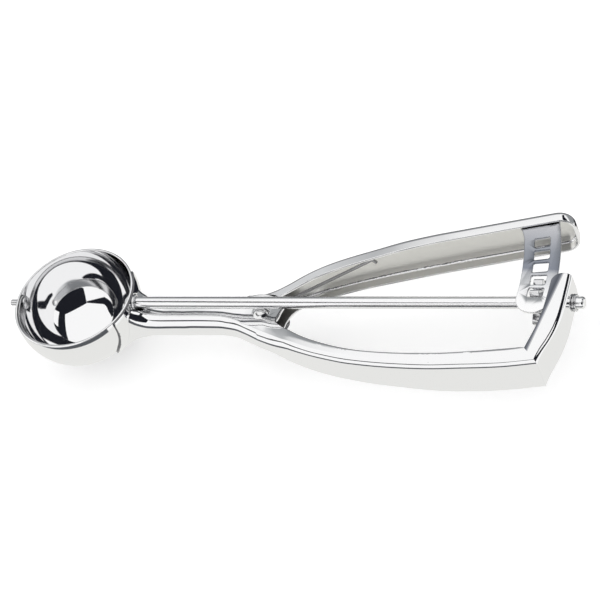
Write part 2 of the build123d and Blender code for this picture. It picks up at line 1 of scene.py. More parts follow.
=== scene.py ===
import json
from bisect import bisect
from math import acos, atan2, cos, degrees, hypot, pi, radians, sin

import bmesh
import bpy
from mathutils import Matrix, Vector
from mathutils.bvhtree import BVHTree


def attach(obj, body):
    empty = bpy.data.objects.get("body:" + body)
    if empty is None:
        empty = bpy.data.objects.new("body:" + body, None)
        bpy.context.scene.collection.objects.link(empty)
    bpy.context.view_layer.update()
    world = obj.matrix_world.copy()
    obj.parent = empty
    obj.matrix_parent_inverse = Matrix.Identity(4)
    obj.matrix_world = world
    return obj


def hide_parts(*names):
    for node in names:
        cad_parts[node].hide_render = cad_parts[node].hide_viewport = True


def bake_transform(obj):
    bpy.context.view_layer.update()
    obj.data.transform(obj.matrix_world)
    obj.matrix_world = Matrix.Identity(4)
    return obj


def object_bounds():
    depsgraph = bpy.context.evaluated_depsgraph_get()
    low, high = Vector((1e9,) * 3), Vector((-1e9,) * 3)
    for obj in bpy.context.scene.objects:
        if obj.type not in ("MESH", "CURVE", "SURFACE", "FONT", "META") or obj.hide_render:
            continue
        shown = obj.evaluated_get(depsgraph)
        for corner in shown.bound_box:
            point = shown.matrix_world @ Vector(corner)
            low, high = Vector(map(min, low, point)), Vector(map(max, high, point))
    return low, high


MM = 0.001
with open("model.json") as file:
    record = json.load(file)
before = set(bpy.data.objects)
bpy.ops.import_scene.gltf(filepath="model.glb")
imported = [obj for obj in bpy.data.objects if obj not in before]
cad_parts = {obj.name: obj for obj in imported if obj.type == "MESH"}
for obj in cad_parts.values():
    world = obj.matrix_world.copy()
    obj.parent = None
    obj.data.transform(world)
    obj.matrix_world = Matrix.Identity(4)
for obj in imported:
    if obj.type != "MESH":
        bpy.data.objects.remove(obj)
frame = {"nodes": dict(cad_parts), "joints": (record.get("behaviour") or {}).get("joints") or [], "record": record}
nodes = frame["nodes"]
cad_box = [list(corner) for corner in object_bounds()]
turning = next(joint for joint in frame["joints"] if joint["name"] == "scraper_turn")
BOWL_CENTRE = Vector(turning["pos_m"])


# ---------------------------------------------------------------- camera
VIEW_PX = 600.0             # width and height of the view
FOCAL_PX = 3000.0           # focal length, in the same pixels
SENSOR_MM = 36.0
RIGHT_AT_BOWL = Vector((2.316, 0.741, -0.941))  # the view's right and up, looking straight at the bowl
UP_AT_BOWL = Vector((0.0065, 2.049, 1.609))
SCALE_PX = 2.608            # pixels per millimetre at the bowl
BOWL_PX = (76.6, 302.6)     # where the bowl's centre lies in the view
CLIP = (0.05, 20.0)         # nearest and farthest that the camera sees, in metres


def add_camera():
    """Camera with the bowl's centre at its place in the view; gives its right, up and back."""
    middle = VIEW_PX / 2
    along = RIGHT_AT_BOWL.normalized()
    up = (UP_AT_BOWL - UP_AT_BOWL.dot(along) * along).normalized()
    depth = along.cross(up)
    off = (middle - BOWL_PX[0]) / FOCAL_PX
    drop = (BOWL_PX[1] - middle) / FOCAL_PX
    turn = atan2(off, 1.0)      # from the bowl to the middle of the view
    right = cos(turn) * along + sin(turn) * depth
    back = cos(turn) * depth - sin(turn) * along
    reach = FOCAL_PX / SCALE_PX
    place = reach * back + off * reach * right + drop * reach * up
    cam = bpy.data.objects.new("camera", bpy.data.cameras.new("camera"))
    bpy.context.scene.collection.objects.link(cam)
    cam.data.sensor_width = SENSOR_MM
    cam.data.lens = FOCAL_PX / VIEW_PX * SENSOR_MM
    cam.data.clip_start, cam.data.clip_end = CLIP
    axes = Matrix((right, up, back)).transposed()
    cam.matrix_world = Matrix.Translation(BOWL_CENTRE + place * MM) @ axes.to_4x4()
    bpy.context.scene.camera = cam
    return axes


# ---------------------------------------------------------------- shading
class Shader:
    """Short way to write a node tree."""

    def __init__(self, name):
        self.material = bpy.data.materials.new(name)
        self.material.use_nodes = True
        self.tree = self.material.node_tree
        self.tree.nodes.clear()
        self.out = self.add("ShaderNodeOutputMaterial")

    def add(self, kind, **values):
        node = self.tree.nodes.new(kind)
        for key, value in values.items():
            if key in node.inputs:
                node.inputs[key].default_value = value
            else:
                setattr(node, key, value)
        return node

    def link(self, a, b):
        self.tree.links.new(a, b)


GRAIN_SPREAD = (0.8, 1.25)  # least and most roughness between the polishing marks
RELIEF = 0.1 * MM           # depth of the marks where they can be felt


def steel(name, colour, roughness, bump=0.0, grain=(1.0, 1.0, 1.0), grain_scale=400.0, tone=None):
    """Stainless steel; grain stretches the polishing marks along an axis, and tone paints reflections into the
    base colour.
    """
    s = Shader(name)
    bsdf = s.add("ShaderNodeBsdfPrincipled", Metallic=1.0, Roughness=roughness)
    bsdf.inputs["Base Color"].default_value = (*colour, 1.0)
    place = s.add("ShaderNodeTexCoord")
    stretch = s.add("ShaderNodeMapping")
    stretch.inputs["Scale"].default_value = grain
    marks = s.add("ShaderNodeTexNoise", Scale=grain_scale, Detail=3.0)
    s.link(place.outputs["Object"], stretch.inputs["Vector"])
    s.link(stretch.outputs["Vector"], marks.inputs["Vector"])
    spread = s.add("ShaderNodeMapRange")
    spread.inputs["To Min"].default_value = roughness * GRAIN_SPREAD[0]
    spread.inputs["To Max"].default_value = roughness * GRAIN_SPREAD[1]
    s.link(marks.outputs["Fac"], spread.inputs["Value"])
    s.link(spread.outputs["Result"], bsdf.inputs["Roughness"])
    if bump:
        relief = s.add("ShaderNodeBump", Strength=bump, Distance=RELIEF)
        s.link(marks.outputs["Fac"], relief.inputs["Height"])
        s.link(relief.outputs["Normal"], bsdf.inputs["Normal"])
    if tone:
        s.link(tone(s, place.outputs["Object"]), bsdf.inputs["Base Color"])
    s.link(bsdf.outputs["BSDF"], s.out.inputs["Surface"])
    return s.material


def tone_along(s, place, way, start, end, tones):
    """Painted tones, for reflections, that change along a direction, from one distance (mm) to another."""
    run = s.add("ShaderNodeVectorMath", operation="DOT_PRODUCT")
    run.inputs[1].default_value = way
    share = s.add("ShaderNodeMapRange")
    share.inputs["From Min"].default_value = start * MM
    share.inputs["From Max"].default_value = end * MM
    ramp = s.add("ShaderNodeValToRGB")
    stops = ramp.color_ramp.elements
    while len(stops) < len(tones):
        stops.new(0.5)
    for stop, (at, colour) in zip(stops, tones):
        stop.position = (at - start) / (end - start)
        stop.color = (*colour, 1)
    s.link(place, run.inputs[0])
    s.link(run.outputs["Value"], share.inputs["Value"])
    s.link(share.outputs["Result"], ramp.inputs["Fac"])
    return ramp.outputs["Color"]


def rack_painted_reflection(s, place):
    """Painted reflection in the plate's colour: bright at its working end and dull near the root."""
    return tone_along(s, place, (0.06, 1, 0), 0, 48, [
        (1, (0.98, 0.98, 0.98)), (9, (0.96, 0.96, 0.97)), (15, (0.72, 0.73, 0.75)),
        (18.5, (0.55, 0.56, 0.59)), (20.5, (0.26, 0.28, 0.33)), (28, (0.30, 0.32, 0.36)),
        (36, (0.47, 0.48, 0.51)), (42, (0.60, 0.60, 0.62)), (46, (0.30, 0.31, 0.34))])


def heel_painted_reflection(s, place):
    """Painted reflection: the flange darkens towards its free edge."""
    return tone_along(s, place, (0.983, -0.181, 0), 186, 200, [
        (189, (0.20, 0.21, 0.24)), (191, (0.10, 0.11, 0.13)), (191.8, (0.22, 0.23, 0.26)),
        (192.6, (0.93, 0.93, 0.935))])


MIRROR = steel("mirror_polish", (0.93, 0.93, 0.935), 0.045)
HEEL = steel("heel_polish_painted_reflection", (0.93, 0.93, 0.935), 0.045, tone=heel_painted_reflection)
SATIN = steel("satin_web", (0.98, 0.97, 0.93), 0.36, bump=0.5, grain_scale=900.0)
# The lower flange's darker colour is painted shade.
FLANGE_PAINTED_SHADE = steel("satin_flange_painted_shade", (0.58, 0.575, 0.56), 0.34, bump=0.4, grain=(0.2, 1.0, 1.0))
# Dark steel for painted dark lines: painted reflection on the frame's and heel's cut edges, painted shade at the
# lever's inner bends.
PAINTED_DARK_LINE = steel("cut_edge", (0.20, 0.20, 0.21), 0.25)
PLATE = steel("rack_steel_painted_reflection", (0.60, 0.61, 0.64), 0.12, bump=0.05, tone=rack_painted_reflection)
ROD = steel("rod_polish", (0.95, 0.95, 0.955), 0.16)
TURNED = steel("turned_steel", (0.75, 0.75, 0.76), 0.16)
RIVET = steel("rivet_steel", (0.86, 0.86, 0.86), 0.14)
SCRAPER = steel("spring_band", (0.7, 0.7, 0.71), 0.18)
# The wire's dark colour is painted shade along the wire.
SPRING = steel("spring_wire", (0.38, 0.38, 0.385), 0.12)


# ---------------------------------------------------------------- form of the pressings
RIM_Z = 3.4                 # mouth of the bowl over the rod's axis, which these heights start from
SHEET = 1.0
# x, web side y, open side y, bottom z, top z, bend radius
FRAME_FORM = [
    (13.8, -12.4, 12.4, -20.2, 8.9, 6.9),
    (17.7, -11.0, 11.0, -17.6, 7.9, 6.4),
    (21.7, -8.7, 8.7, -15.9, 5.5, 5.6),
    (25.7, -7.2, 7.2, -15.3, -0.6, 4.8),
    (29.6, -6.3, 6.3, -15.1, -3.8, 4.4),
    (34.5, -6.1, 6.1, -15.1, -4.4, 4.2),
    (41.3, -6.0, 6.0, -15.1, -4.4, 4.1),
    (51.0, -5.9, 5.9, -15.1, -4.4, 4.0),
    (58.7, -5.9, 6.1, -15.1, -4.6, 3.9),
    (64.4, -6.6, 7.5, -15.2, -5.2, 3.5),
    (70.1, -8.8, 10.3, -15.2, -5.4, 3.0),
    (76.6, -11.8, 11.6, -15.2, -5.4, 3.2),
    (80.2, -13.2, 11.2, -15.2, -5.4, 3.2),
    (84.6, -15.3, 10.2, -15.1, -4.5, 3.1),
    (93.8, -20.7, -3.8, -12.6, 0.1, 2.7),
    (106.2, -26.1, -13.3, -10.5, 2.9, 2.4),
    (122.2, -30.5, -17.9, -9.3, 4.8, 2.4),
    (139.9, -33.2, -20.6, -8.9, 6.4, 2.4),
    (157.3, -34.8, -22.3, -8.6, 8.1, 2.3),
    (169.4, -35.0, -22.2, -8.1, 9.0, 2.3),
    (179.8, -34.6, -22.1, -7.6, 9.2, 2.3),
    (188.4, -33.6, -21.1, -7.4, 9.2, 2.3),
    (199.0, -32.0, -20.2, -7.3, 9.2, 2.3),
]
# y, inner x (far off, because the channel is open there), outer x, bottom z, top z, bend radius
HEEL_FORM = [
    (-41.0, 160.0, 194.4, -7.2, 9.2, 2.3),
    (-32.3, 160.0, 194.6, -7.0, 9.2, 2.3),
    (-28.0, 160.0, 195.4, -6.8, 9.2, 2.3),
    (-22.3, 160.0, 197.3, -6.1, 9.2, 2.3),
    (-17.0, 160.0, 198.7, -5.4, 9.2, 2.3),
    (-11.0, 160.0, 199.5, -4.8, 9.2, 2.3),
    (-5.0, 160.0, 199.7, -4.3, 9.2, 2.3),
    (0.5, 160.0, 199.7, -4.1, 9.2, 2.3),
    (10.0, 160.0, 199.5, -3.8, 9.2, 2.3),
]
# in the lever's own axes: u from its rivet, open side v (far off) and web v, bottom z, top z, bend radius
LEVER_FORM = [
    (-2.4, -60.0, 10.2, -13.9, -6.5, 2.1),
    (8.3, -60.0, 10.2, -13.9, -4.4, 2.1),
    (13.0, -60.0, 10.2, -13.5, -2.3, 2.1),
    (19.5, -60.0, 10.2, -12.4, 0.6, 2.1),
    (27.0, -60.0, 10.2, -11.4, 3.2, 2.1),
    (38.0, -60.0, 10.2, -10.2, 5.6, 2.1),
    (48.5, -60.0, 10.2, -9.4, 7.3, 2.1),
    (58.5, -60.0, 10.2, -9.0, 8.5, 2.1),
    (70.0, -60.0, 10.2, -8.8, 9.2, 2.1),
    (83.0, -60.0, 10.2, -8.7, 9.5, 2.1),
    (124.0, -60.0, 10.2, -8.7, 9.5, 2.1),
]
LEVER_TURN = radians(12.4)  # lever against the rod, handles open
PIVOT = Vector(next(j for j in frame["joints"] if j["name"] == "lever_squeeze")["pos_m"]) / MM
ALONG_STEP = 2.5            # reach of the slope along a pressing
ACROSS_STEP = 0.02
ON_FORM = 0.6               # a face this near to a form, and turned like it, belongs to it
LIKE_FORM = cos(radians(12))
DISH_RISE = 0.1             # the dish fades in where the sheet turns up from this slope
DISH_FADE = 0.8
DISH_REACH = 1.5            # the dish goes on as far as this many flange widths
DISH_FULL = 1.001           # share of the flange's width where the lean is full


def smooth_slopes(xs, ys):
    """Slopes of a smooth curve through the points that never overshoots them."""
    spans = [(y1 - y0) / (x1 - x0) for x0, x1, y0, y1 in zip(xs, xs[1:], ys, ys[1:])]
    inner = [0 if a * b <= 0 else 2 * a * b / (a + b) for a, b in zip(spans, spans[1:])]
    return [spans[0], *inner, spans[-1]]


class Pressing:
    """Bent sheet with two rounded bends, from its sections along an axis."""

    def __init__(self, sections, axes, origin=(0.0, 0.0, -RIM_Z)):
        self.along, *self.columns = [list(column) for column in zip(*sections)]
        self.slopes = [smooth_slopes(self.along, column) for column in self.columns]
        self.axes = Matrix(axes)
        self.origin = Vector(origin)
        self.wall = SHEET

    def section(self, place):
        i = min(max(bisect(self.along, place) - 1, 0), len(self.along) - 2)
        width = self.along[i + 1] - self.along[i]
        t = min(max((place - self.along[i]) / width, 0.0), 1.0)
        start, end = 2 * t ** 3 - 3 * t ** 2 + 1, 3 * t ** 2 - 2 * t ** 3
        leave, arrive = (t ** 3 - 2 * t ** 2 + t) * width, (t ** 3 - t ** 2) * width
        return [start * ys[i] + end * ys[i + 1] + leave * tilt[i] + arrive * tilt[i + 1]
                for ys, tilt in zip(self.columns, self.slopes)]

    def outside(self, along, across, up):
        """How far a place lies outside the sheet."""
        near, far, low, high, bend = self.section(along)
        side = abs(across - (near + far) / 2) - (far - near) / 2 + bend
        rise = abs(up - (low + high) / 2) - (high - low) / 2 + bend
        return hypot(max(side, 0), max(rise, 0)) + min(max(side, rise), 0) - bend

    def place(self, spot):
        return self.axes @ (spot / MM - self.origin)

    def surface(self, spot):
        """Distance to the sheet's outside and the way out, at a place in the scene."""
        x, y, z = self.place(spot)
        a, c = ALONG_STEP, ACROSS_STEP
        way = Vector(((self.outside(x + a, y, z) - self.outside(x - a, y, z)) / a,
                      (self.outside(x, y + c, z) - self.outside(x, y - c, z)) / c,
                      (self.outside(x, y, z + c) - self.outside(x, y, z - c)) / c))
        return self.outside(x, y, z), (self.axes.transposed() @ way).normalized()

    def polish(self, spot):
        return self.surface(spot)[1]


# x, steepest slope along the flange, lean at the free edge, where it starts, flange's width
DISH = [
    (76.0, 0.03, 0.0, 0.5, 6.0), (81.0, 0.06, 0.06, 0.2, 6.0), (86.0, 0.10, 0.15, 0.15, 5.6),
    (92.0, 0.06, 0.17, 0.3, 4.6), (97.0, 0.03, 0.18, 0.45, 3.8), (104.0, 0.02, 0.2, 0.62, 3.5),
    (119.0, 0.01, 0.24, 0.76, 2.9), (140.0, 0.01, 0.3, 0.82, 3.2), (166.0, 0.0, 0.3, 0.85, 3.9),
    (190.0, 0.0, 0.2, 0.9, 4.5),
]


def between(rows, place, column):
    """Value of a column at a place between the rows."""
    for before, after in zip(rows, rows[1:]):
        if place <= after[0]:
            share = (place - before[0]) / (after[0] - before[0])
            return before[column] + (after[column] - before[column]) * share
    return rows[-1][column]


class DishedPressing(Pressing):
    """The frame, whose top flange is dished a little towards its free edge."""

    def polish(self, spot):
        x, y, z = self.place(spot)
        way = self.surface(spot)[1]
        if way.z < DISH_RISE or not DISH[0][0] < x < DISH[-1][0]:
            return way
        near, far, low, high, bend = self.section(x)
        fold, rise, start, width = [between(DISH, x, i) for i in range(1, 5)]
        reach = min(max((y - near - bend) / width, 0.0), DISH_REACH)
        lean = rise * min(max((reach - start) / (DISH_FULL - start), 0.0), 1.0)
        keep = min(max((way.z - DISH_RISE) / DISH_FADE, 0.0), 1.0)
        slope = -way.x / way.z
        flat = Vector((-min(slope, fold), way.y / way.z + lean, 1.0)).normalized()
        return way.lerp(flat, keep).normalized()


class Ball:
    """Spun sheet round the bowl's centre."""

    def __init__(self, radius, wall):
        self.radius = radius
        self.wall = wall

    def surface(self, spot):
        out = (spot - BOWL_CENTRE) / MM
        return out.length - self.radius, out.normalized()

    def polish(self, spot):
        return self.surface(spot)[1]


BOWL_FORM = Ball(24.3, 0.9)
SADDLE_FORM = Ball(25.1, 0.8)
FRAME_PRESSING = DishedPressing(FRAME_FORM, ((1, 0, 0), (0, 1, 0), (0, 0, 1)))
HEEL_PRESSING = Pressing(HEEL_FORM, ((0, 1, 0), (1, 0, 0), (0, 0, 1)))
LEVER_PRESSING = Pressing(
    LEVER_FORM,
    ((cos(LEVER_TURN), sin(LEVER_TURN), 0), (-sin(LEVER_TURN), cos(LEVER_TURN), 0), (0, 0, 1)),
    (PIVOT.x, PIVOT.y, -RIM_Z))
FORMS = {
    "bowl": [BOWL_FORM],
    "stem_and_handle": [SADDLE_FORM, FRAME_PRESSING],
    "heel": [HEEL_PRESSING],
    "lever_handle": [LEVER_PRESSING],
}


def form_under(face, forms):
    """The form that a face lies on, and whether the face looks out of it or in."""
    for form in forms:
        away, way = form.surface(face.center)
        if min(abs(away), abs(away + form.wall)) < ON_FORM:
            turned = way.dot(face.normal)
            if abs(turned) > LIKE_FORM:
                return form, 1 if turned > 0 else -1
    return None, 0


def true_normals(mesh, forms):
    """Every corner on a form takes the form's own normal, so that the polish runs clean."""
    corners = [Vector(corner.vector) for corner in mesh.corner_normals]
    steady = {}
    loose = []
    for face in mesh.polygons:
        form, side = form_under(face, forms)
        if form is None:
            loose.append(face)
            continue
        for loop in face.loop_indices:
            vertex = mesh.loops[loop].vertex_index
            way = side * form.polish(mesh.vertices[vertex].co)
            corners[loop] = way
            steady.setdefault(vertex, []).append(way)
    for face in loose:
        for loop in face.loop_indices:
            for way in steady.get(mesh.loops[loop].vertex_index, []):
                if way.dot(face.normal) > cos(SHARP_ANGLE):
                    corners[loop] = way
                    break
    mesh.normals_split_custom_set(corners)
    return loose


# ---------------------------------------------------------------- skins
EDGE_ROUND = 0.22 * MM      # the sheet's cut edges are broken and polished over
EDGE_ROUNDS = {"bowl": 0.36 * MM, "stem_and_handle": 0.3 * MM, "heel": 0.2 * MM, "rack_plate": 0.3 * MM}
ROUND_STEPS = 3
# pieces whose cut edges are painted dark, as painted reflection
PAINTED_DARK_CUTS = ("stem_and_handle", "heel")
SAME_SPOT = 0.002 * MM
FLAT_ANGLE = radians(0.1)
FACES_UP = 0.7
FLANGE_EDGE = 0.9 * MM      # longest edge on the dished flange
TINY_EDGE = 0.05 * MM
STRAY = 0.12 * MM           # no rounded edge leaves the sheet by more than this
SHARP_ANGLE = radians(32)
CUT_ANGLE = radians(60)
WELD_AT = (188.3, -26.7)    # weld between the lower handle and the heel, seen from above
WELD_ALONG = Vector((1.0, -1.05)).normalized()
WELD_KEEP = 0.9             # the sheet stays bright, without the painted dark reflection, this near to the weld
WELD_FLUSH = 0.15           # edges this near to the weld's plane are the weld itself


def divide_flange(work):
    """Smaller faces where the frame's top flange is dished."""
    for _ in range(2):
        long_edges = set()
        for face in work.faces:
            middle = face.calc_center_median().x / MM
            if face.normal.z > FACES_UP and DISH[0][0] < middle < DISH[-1][0]:
                long_edges.update(e for e in face.edges if e.calc_length() > FLANGE_EDGE)
        bmesh.ops.subdivide_edges(work, edges=list(long_edges), cuts=1, use_grid_fill=True)
        bmesh.ops.triangulate(work, faces=[f for f in work.faces if len(f.verts) > 3])


def weld_distance(spot):
    """How far a place is from the weld's plane, in mm."""
    x, y = spot.x / MM - WELD_AT[0], spot.y / MM - WELD_AT[1]
    return abs(x * WELD_ALONG.y - y * WELD_ALONG.x)


def mark_cuts(work, node):
    """The sharp edges get rounded, but not where the lower handle is welded to the heel."""
    cut = work.edges.layers.float.new("bevel_weight_edge")
    for edge in work.edges:
        if len(edge.link_faces) != 2 or edge.calc_face_angle() < CUT_ANGLE:
            continue
        ends = [weld_distance(vertex.co) for vertex in edge.verts]
        if node not in PAINTED_DARK_CUTS or max(ends) > WELD_FLUSH:
            edge[cut] = 1.0


def merged_mesh(node):
    """The node's own form with its loose triangles joined and its flat faces made whole."""
    mesh = nodes[node].data.copy()
    mesh.materials.clear()
    work = bmesh.new()
    work.from_mesh(mesh)
    bmesh.ops.remove_doubles(work, verts=work.verts, dist=SAME_SPOT)
    if node == "stem_and_handle":
        divide_flange(work)
    else:
        bmesh.ops.dissolve_limit(work, angle_limit=FLAT_ANGLE, verts=work.verts, edges=work.edges)
    bmesh.ops.dissolve_degenerate(work, edges=work.edges, dist=TINY_EDGE)
    mark_cuts(work, node)
    work.to_mesh(mesh)
    work.free()
    return mesh


def pull_back(mesh, tree):
    """Corners that the rounding threw off the sheet go back to it."""
    for vertex in mesh.vertices:
        spot, _, _, away = tree.find_nearest(vertex.co)
        if away > STRAY:
            vertex.co = spot


def made_plain(piece):
    """Gives a piece the mesh that its modifiers make, and takes them off."""
    view = bpy.context.evaluated_depsgraph_get()
    mesh = bpy.data.meshes.new_from_object(piece.evaluated_get(view))
    piece.modifiers.clear()
    piece.data = mesh
    return mesh


def rounded(piece, width, node):
    """The piece's mesh with its marked edges rounded."""
    mesh = piece.data
    rounding = piece.modifiers.new("cut_edges", "BEVEL")
    rounding.width = width
    rounding.segments = ROUND_STEPS
    rounding.limit_method = "WEIGHT"
    rounding.use_clamp_overlap = False
    rounding.loop_slide = False
    rounding.harden_normals = node not in FORMS
    tree = BVHTree.FromPolygons([v.co for v in mesh.vertices], [f.vertices for f in mesh.polygons])
    mesh = made_plain(piece)
    pull_back(mesh, tree)
    return mesh


def skin(node, material, body):
    """The node's own form, polished smooth, with its cut edges rounded."""
    mesh = merged_mesh(node)
    mesh.materials.append(material)
    piece = bpy.data.objects.new(node + "_skin", mesh)
    bpy.context.scene.collection.objects.link(piece)
    mesh.shade_smooth()
    mesh = rounded(piece, EDGE_ROUNDS.get(node, EDGE_ROUND), node)
    mesh.set_sharp_from_angle(angle=SHARP_ANGLE)
    if node in FORMS:
        loose = true_normals(mesh, FORMS[node])
        # Cut edges of the frame and heel take the painted dark reflection.
        if node in PAINTED_DARK_CUTS:
            mesh.materials.append(PAINTED_DARK_LINE)
            for face in loose:
                if weld_distance(face.center) > WELD_KEEP:
                    face.material_index = 1
    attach(piece, body)
    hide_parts(node)
    return piece


WEB_FACES = 0.97            # how squarely a face of the web looks at the lever's open side
BEND_FACES = 0.8
FLANGE_FACES = 0.9
LOOKS_IN = 0.9


def satin_inside(piece):
    """The web and the lower flange inside the lever's channel keep the rolled sheet's dull finish; the flange's
    darker colour is painted shade.
    """
    mesh = piece.data
    mesh.materials.append(SATIN)
    mesh.materials.append(FLANGE_PAINTED_SHADE)
    mesh.materials.append(PAINTED_DARK_LINE)
    for face in mesh.polygons:
        away, way = LEVER_PRESSING.surface(face.center)
        if abs(away + SHEET) > ON_FORM / 2 or way.dot(face.normal) > -LOOKS_IN:
            continue
        _, across, up = LEVER_PRESSING.axes @ way
        if across > WEB_FACES:
            face.material_index = 1
        # Bends beside the web take a painted dark line, standing in for shade.
        elif across > BEND_FACES:
            face.material_index = 3
        elif up < -FLANGE_FACES:
            face.material_index = 2


# ---------------------------------------------------------------- return spring
WIRE_R = 0.65
WIRE_SIDES = 14
BEND_R = 1.0                # inside of the bends between the coil and its legs
BEND_STEPS = 3
COIL_R = 4.3
COIL_TURNS = 2              # whole turns
COIL_PITCH = 1.4
COIL_TOP_Z = -8.25
COIL_STEPS = 26             # corners to a turn
LEVER_LEG = [(9.6, 5.6, COIL_TOP_Z), (46.0, 8.5, 2.7), (47.4, 7.7, 1.4)]  # in the lever's axes
FRAME_LEG_END = (93.5, -18.65, -9.2)


def from_lever(u, v, z):
    """A place given along and across the lever, and in height."""
    return Vector((PIVOT.x + u * cos(LEVER_TURN) - v * sin(LEVER_TURN),
                   PIVOT.y + u * sin(LEVER_TURN) + v * cos(LEVER_TURN), z))


def spring_path():
    """Middle of the wire: frame's leg, coil, lever's leg with its hooked end."""
    leg = [from_lever(*point) for point in LEVER_LEG]
    rest = Vector(FRAME_LEG_END)
    angles = []
    for point, side in ((leg[0], 1), (rest, -1)):
        x, y = point.x - PIVOT.x, point.y - PIVOT.y
        angles.append(atan2(y, x) + side * acos(COIL_R / hypot(x, y)))
    turns = COIL_TURNS + (angles[1] - angles[0]) % (2 * pi) / (2 * pi)
    steps = round(turns * COIL_STEPS)
    path = [rest]
    for i in range(steps + 1):
        share = i / steps
        turn = angles[1] - 2 * pi * turns * share
        rise = COIL_TOP_Z - turns * COIL_PITCH * (1 - share)
        path.append(Vector((PIVOT.x + COIL_R * cos(turn), PIVOT.y + COIL_R * sin(turn), rise)))
    return [(point - Vector((0, 0, RIM_Z))) * MM for point in path + leg]


def wire_tree(material):
    """Sweeps round wire along a path and rounds its bends."""
    tree = bpy.data.node_groups.new("bent_wire", "GeometryNodeTree")
    tree.interface.new_socket(name="Geometry", in_out="OUTPUT", socket_type="NodeSocketGeometry")
    tree.interface.new_socket(name="Path", in_out="INPUT", socket_type="NodeSocketGeometry")
    for size in ("Wire Radius", "Bend Radius"):
        tree.interface.new_socket(name=size, in_out="INPUT", socket_type="NodeSocketFloat")
    start = tree.nodes.new("NodeGroupInput")
    end = tree.nodes.new("NodeGroupOutput")
    line = tree.nodes.new("GeometryNodeMeshToCurve")
    bends = tree.nodes.new("GeometryNodeFilletCurve")
    bends.mode = "POLY"
    bends.inputs["Count"].default_value = BEND_STEPS
    bends.inputs["Limit Radius"].default_value = True
    round_wire = tree.nodes.new("GeometryNodeCurvePrimitiveCircle")
    round_wire.inputs["Resolution"].default_value = WIRE_SIDES
    swept = tree.nodes.new("GeometryNodeCurveToMesh")
    swept.inputs["Fill Caps"].default_value = True
    whole = tree.nodes.new("GeometryNodeRealizeInstances")
    coat = tree.nodes.new("GeometryNodeSetMaterial")
    coat.inputs["Material"].default_value = material
    for output, socket in (
        (start.outputs["Path"], line.inputs[0]),
        (line.outputs[0], bends.inputs["Curve"]),
        (start.outputs["Bend Radius"], bends.inputs["Radius"]),
        (bends.outputs[0], swept.inputs["Curve"]),
        (start.outputs["Wire Radius"], round_wire.inputs["Radius"]),
        (round_wire.outputs[0], swept.inputs["Profile Curve"]),
        (swept.outputs[0], whole.inputs[0]),
        (whole.outputs[0], coat.inputs[0]),
        (coat.outputs[0], end.inputs[0]),
    ):
        tree.links.new(output, socket)
    return tree


def bent_spring():
    """The spring wound from its path; its upper leg lies along the lever."""
    path = spring_path()
    mesh = bpy.data.meshes.new("spring_path")
    mesh.from_pydata(path, [(i, i + 1) for i in range(len(path) - 1)], [])
    piece = bpy.data.objects.new("return_spring_wire", mesh)
    bpy.context.scene.collection.objects.link(piece)
    winding = piece.modifiers.new("winding", "NODES")
    winding.node_group = wire_tree(SPRING)
    sizes = {"Wire Radius": WIRE_R * MM, "Bend Radius": BEND_R * MM}
    for socket in winding.node_group.interface.items_tree:
        if socket.name in sizes:
            winding[socket.identifier] = sizes[socket.name]
    finished = made_plain(piece)
    finished.shade_smooth()
    finished.set_sharp_from_angle(angle=SHARP_ANGLE)
    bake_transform(piece)
    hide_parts("return_spring")


# ---------------------------------------------------------------- stage
CARD_REACH = 9.0            # the cards hang this far from the bowl
BLACK = (0.012, 0.013, 0.018)
SLATE = (0.10, 0.105, 0.115)
GREY = (0.28, 0.29, 0.30)
PALE = (0.66, 0.67, 0.68)
WHITE = (1.0, 1.0, 1.0)
CARD_STEPS = 24             # faces along a curved card
BACK_TURNS = (20, 172)      # the room behind, in degrees round the camera
BACK_PALES = (114, 18)      # where it turns pale, and over how many degrees
TABLE_EDGE = sin(radians(-36))
TABLE_BLUR = 0.02
TABLE_TINT = (0.84, 0.84, 0.82, 1)
FLOOR_HALF = 3.0
FLOOR_DROP = 0.0002
FLOOR_TINT = (0.9, 0.9, 0.9, 1)
FLOOR_LIFT = 0.3


def way_to(across, rise):
    """Direction given in degrees right and up of the camera."""
    tilt = radians(hypot(across, rise))
    turn = atan2(rise, across)
    return view_axes @ Vector((sin(tilt) * cos(turn), sin(tilt) * sin(turn), cos(tilt)))


def hang_card(name, spots, faces, shades):
    """Card that only the polished steel sees, with a shade at each of its corners."""
    mesh = bpy.data.meshes.new(name)
    mesh.from_pydata([BOWL_CENTRE + way_to(*spot) * CARD_REACH for spot in spots], [], faces)
    tint = mesh.color_attributes.new("tint", "FLOAT_COLOR", "POINT")
    for point, shade in zip(tint.data, shades):
        point.color = (*shade, 1)
    card = bpy.data.objects.new(name, mesh)
    bpy.context.scene.collection.objects.link(card)
    s = Shader(name)
    painted = s.add("ShaderNodeVertexColor", layer_name="tint")
    glow = s.add("ShaderNodeEmission", Strength=1.0)
    s.link(painted.outputs["Color"], glow.inputs["Color"])
    s.link(glow.outputs[0], s.out.inputs["Surface"])
    mesh.materials.append(s.material)
    card.visible_camera = False
    card.visible_diffuse = False
    card.visible_shadow = False


def flag(name, outline, shade):
    hang_card(name, outline, [tuple(range(len(outline)))], [shade] * len(outline))


def strip(name, path, shades, inner=None):
    """Long narrow card; each point has its half width, measured square to the path."""
    if not isinstance(shades, list):
        shades = [shades] * len(path)
    spots = []
    tints = []
    for i, (across, rise, half) in enumerate(path):
        before = path[max(i - 1, 0)]
        after = path[min(i + 1, len(path) - 1)]
        run = Vector((after[0] - before[0], after[1] - before[1])).normalized()
        spots.append((across - run.y * half, rise + run.x * half))
        spots.append((across + run.y * half, rise - run.x * half))
        tints += [inner or shades[i], shades[i]]
    faces = [(2 * i, 2 * i + 1, 2 * i + 3, 2 * i + 2) for i in range(len(path) - 1)]
    hang_card(name, spots, faces, tints)


